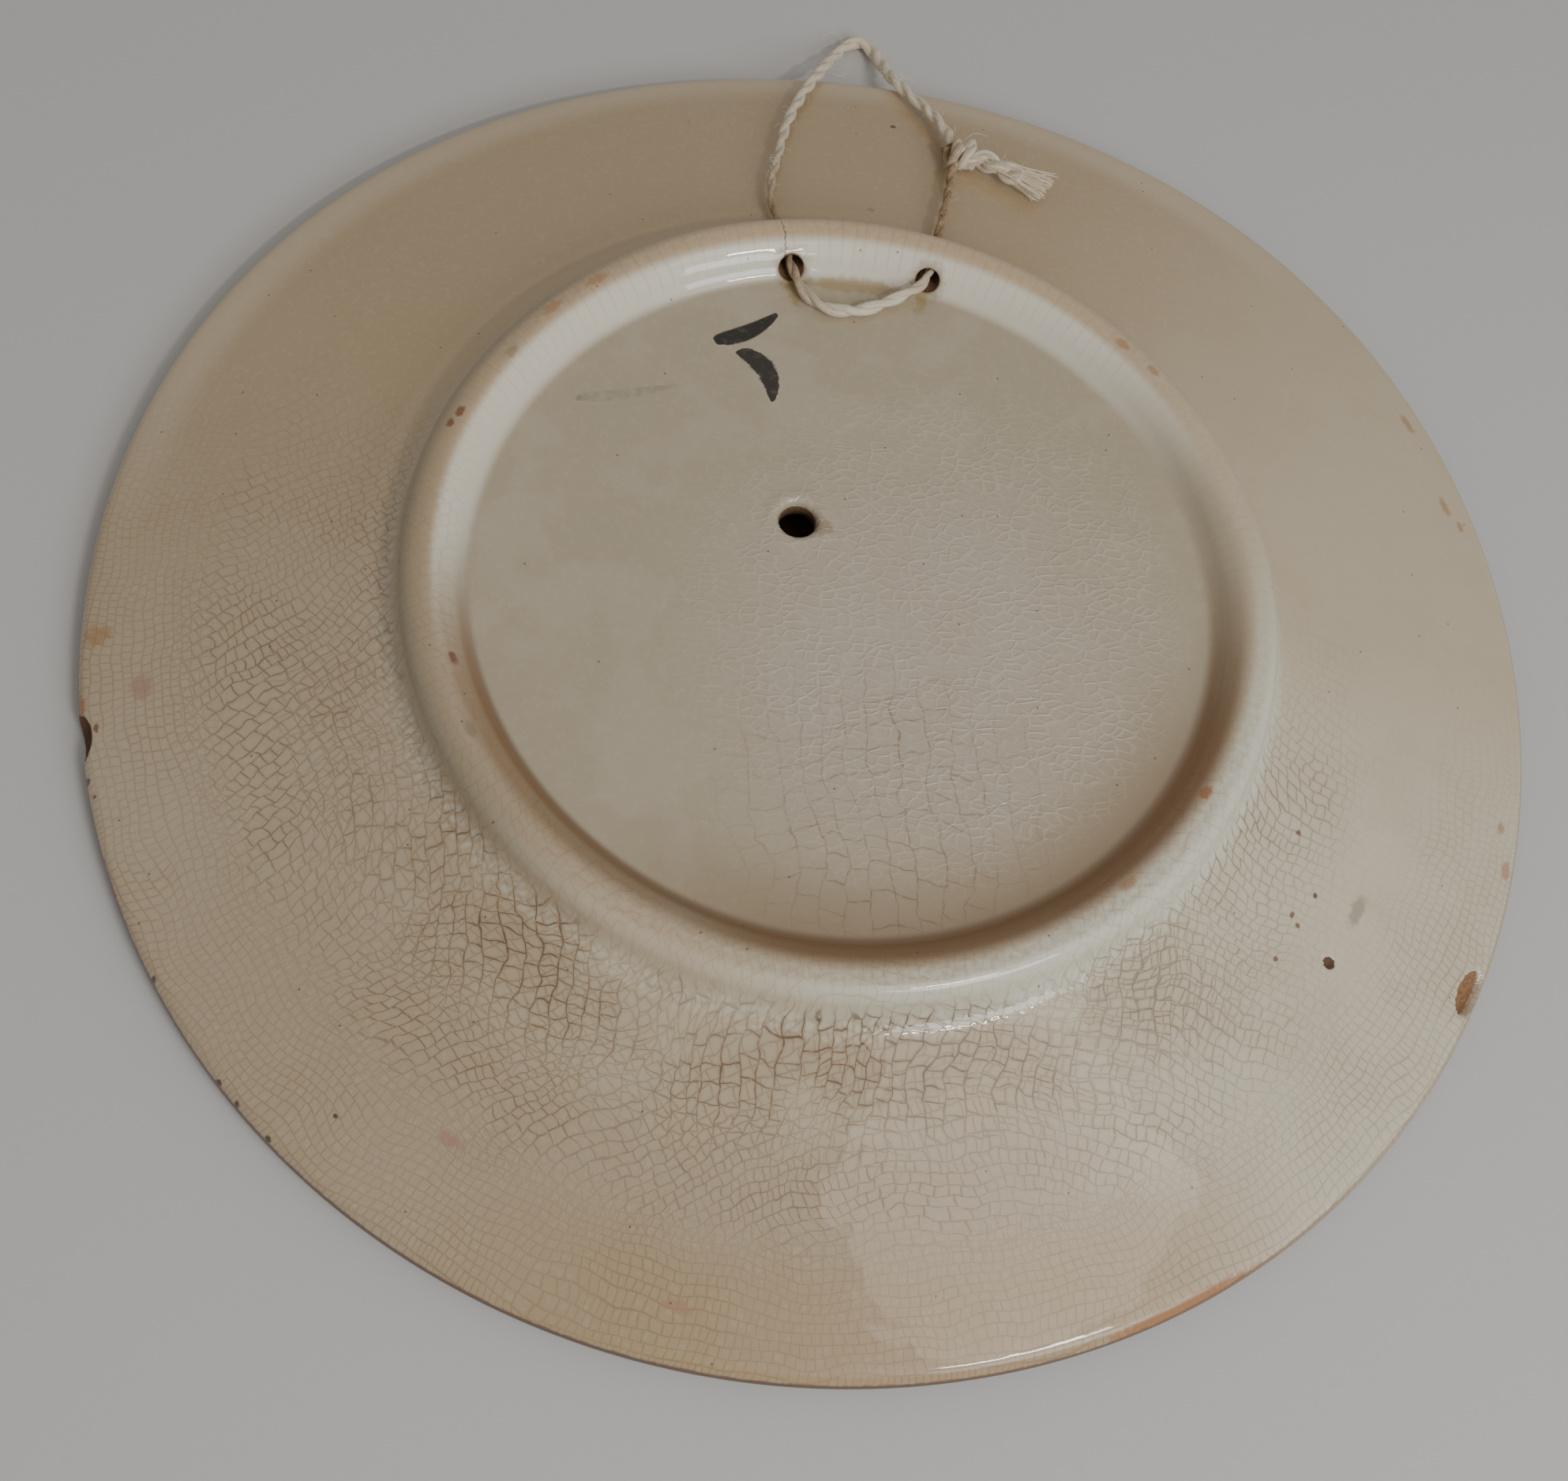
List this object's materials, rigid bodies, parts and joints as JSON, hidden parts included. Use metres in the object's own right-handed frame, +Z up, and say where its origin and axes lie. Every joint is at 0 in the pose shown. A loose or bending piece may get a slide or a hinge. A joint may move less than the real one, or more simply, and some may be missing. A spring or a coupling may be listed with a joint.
{
  "type": "barbotine plate",
  "caption": "Round glazed earthenware wall plate, lying face down, with a moulded fruit on its front, a foot ring behind and a knotted loop of twine to hang it by.",
  "frame": {"origin": "middle of the plate, without its string, on the surface that it lies on", "axes": "+Z up out of the back of the plate, +Y towards the hanging loop, which is the top when the plate hangs, +X to the right as the back is seen"},
  "size_m": [0.2396, 0.2536, 0.0245],
  "materials": {
    "glazed_earthenware": "glossy cream glaze with brown crackle and a brown rim; coloured glazes on the front",
    "cotton_twine": "loosely twisted cotton twine, matte"
  },
  "bodies": {
    "root": {"plate": "glazed_earthenware", "hanging_string": "cotton_twine", "string_knot": "cotton_twine"}
  },
  "joints": []
}
